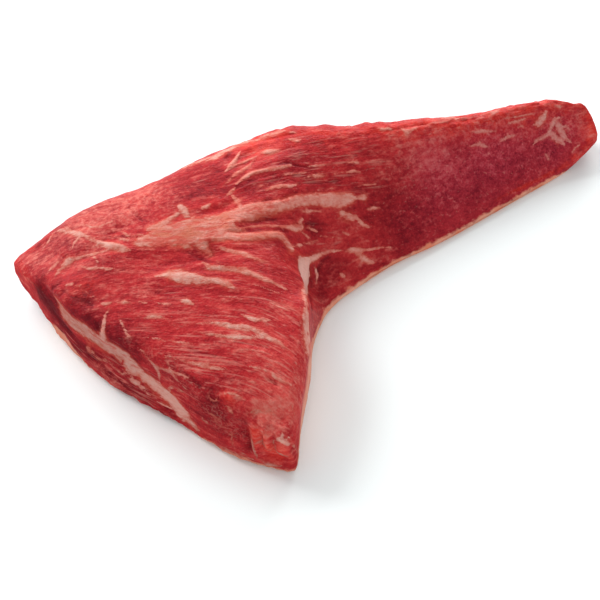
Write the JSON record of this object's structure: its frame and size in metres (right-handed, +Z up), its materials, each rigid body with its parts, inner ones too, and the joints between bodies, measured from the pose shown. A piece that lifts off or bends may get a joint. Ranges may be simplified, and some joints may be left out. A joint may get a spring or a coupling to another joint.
{
  "type": "raw beef tri-tip",
  "caption": "Whole raw beef roast for cooking: a thick wedge of lean meat with streaks of fat that bends into a long tapering tail, lying flat on its fat side.",
  "frame": {"origin": "under the middle of the piece's extents, on the surface it rests on", "axes": "+X along the long edge towards the tip of the tail, +Y towards the long outer edge, +Z up"},
  "size_m": [0.3224, 0.1888, 0.0507],
  "materials": {
    "raw_beef": "moist, slightly glossy raw meat"
  },
  "bodies": {
    "root": {"tri_tip": "raw_beef"}
  },
  "joints": []
}
